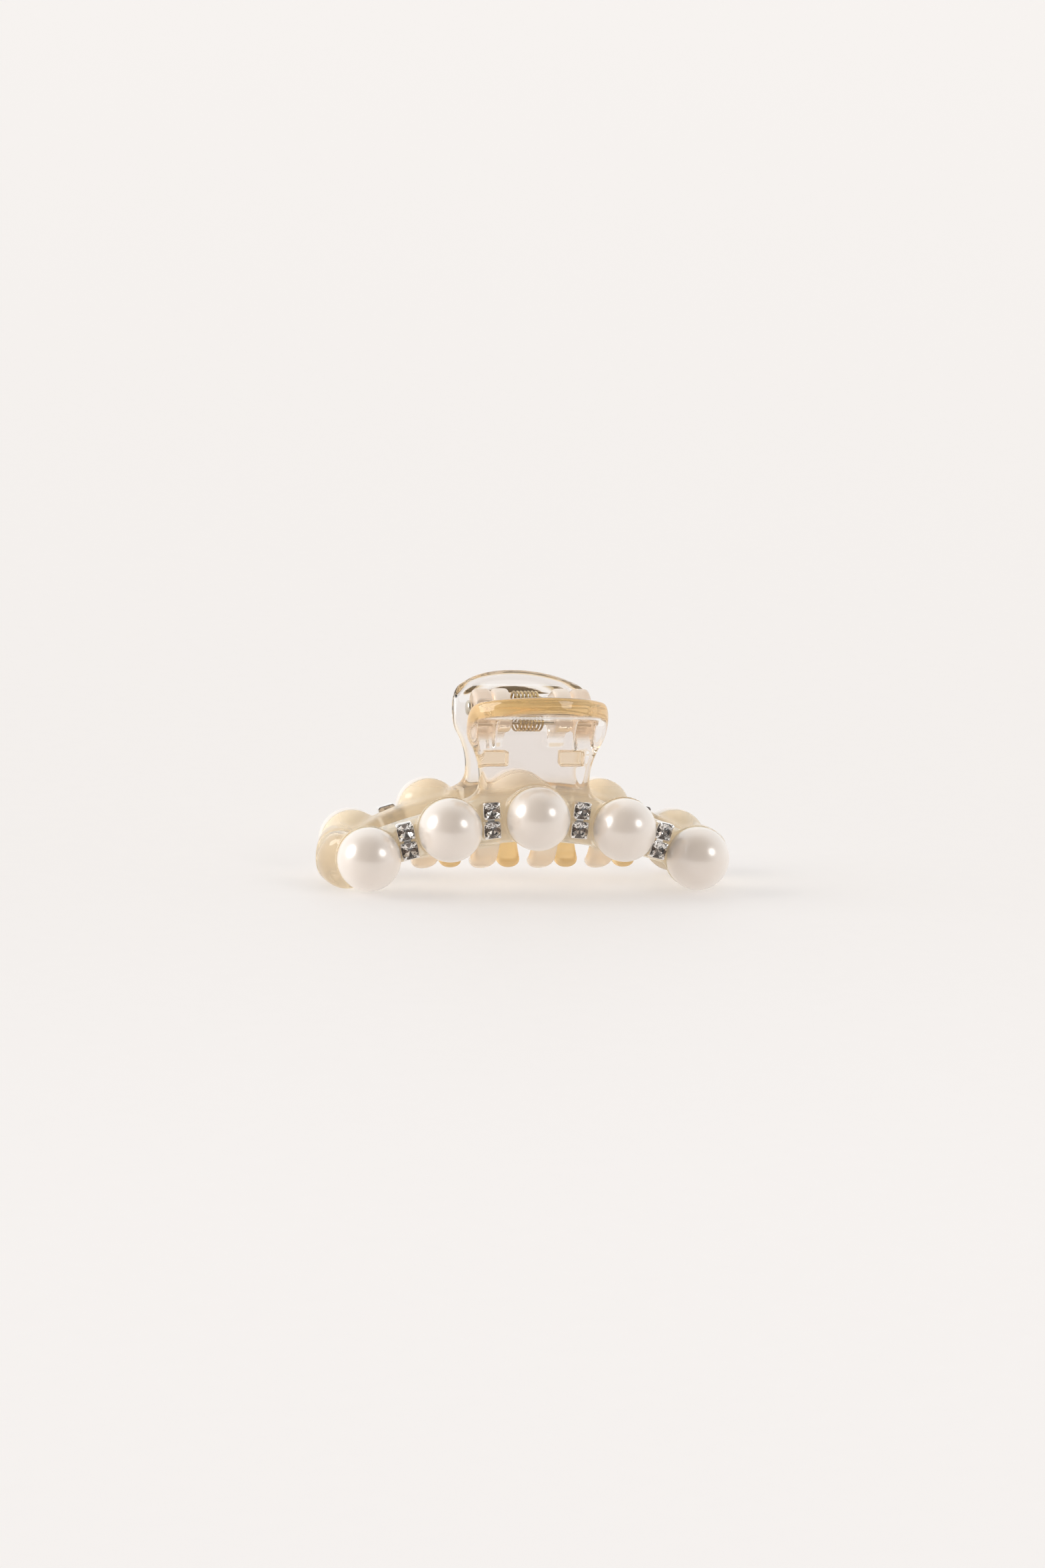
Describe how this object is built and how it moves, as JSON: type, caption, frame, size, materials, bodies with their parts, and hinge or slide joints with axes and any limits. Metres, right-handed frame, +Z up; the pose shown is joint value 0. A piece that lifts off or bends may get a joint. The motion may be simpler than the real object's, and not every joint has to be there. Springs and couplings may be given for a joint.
{
  "type": "claw hair clip",
  "caption": "Small sprung claw hair clip of translucent champagne plastic, with a row of ball pearls and stacked crystal pairs along both curved jaws.",
  "frame": {"origin": "on the ground, midway between the two closed jaws and midway along them", "axes": "+X along the clip and its hinge pin, to the right as seen from the front jaw; +Y from the front jaw to the rear jaw; +Z up, from the gripping teeth to the finger tabs"},
  "size_m": [0.0648, 0.0268, 0.0309],
  "materials": {
    "champagne_plastic": "clear glossy moulded plastic with a champagne tint",
    "pearl_coat": "pearl lacquer",
    "silver_cup": "bright silver plate",
    "crystal": "cut and foiled",
    "pin_metal": "bright nickel with a warm tint",
    "spring_wire": "drawn wire"
  },
  "bodies": {
    "front_half": {"front_jaw": "champagne_plastic", "hinge_pin": "pin_metal", "torsion_spring": "spring_wire", "front_pearl_1": "pearl_coat", "front_pearl_2": "pearl_coat", "front_pearl_3": "pearl_coat", "front_pearl_4": "pearl_coat", "front_pearl_5": "pearl_coat", "front_setting_1": "silver_cup", "front_setting_2": "silver_cup", "front_setting_3": "silver_cup", "front_setting_4": "silver_cup", "front_crystal_1_upper": "crystal", "front_crystal_1_lower": "crystal", "front_crystal_2_upper": "crystal", "front_crystal_2_lower": "crystal", "front_crystal_3_upper": "crystal", "front_crystal_3_lower": "crystal", "front_crystal_4_upper": "crystal", "front_crystal_4_lower": "crystal"},
    "rear_half": {"rear_jaw": "champagne_plastic", "rear_pearl_1": "pearl_coat", "rear_pearl_2": "pearl_coat", "rear_pearl_3": "pearl_coat", "rear_pearl_4": "pearl_coat", "rear_pearl_5": "pearl_coat", "rear_setting_1": "silver_cup", "rear_setting_2": "silver_cup", "rear_setting_3": "silver_cup", "rear_setting_4": "silver_cup", "rear_crystal_1_upper": "crystal", "rear_crystal_1_lower": "crystal", "rear_crystal_2_upper": "crystal", "rear_crystal_2_lower": "crystal", "rear_crystal_3_upper": "crystal", "rear_crystal_3_lower": "crystal", "rear_crystal_4_upper": "crystal", "rear_crystal_4_lower": "crystal"}
  },
  "joints": [
    {"name": "jaw_hinge", "type": "hinge", "parent": "front_half", "child": "rear_half", "pos_m": [0, 0, 0.0269], "axis": [1, 0, 0], "range_deg": [0, 50], "stiffness_Nm_per_rad": 0.08, "springref_deg": -20.05, "deforming": ["torsion_spring"]}
  ]
}
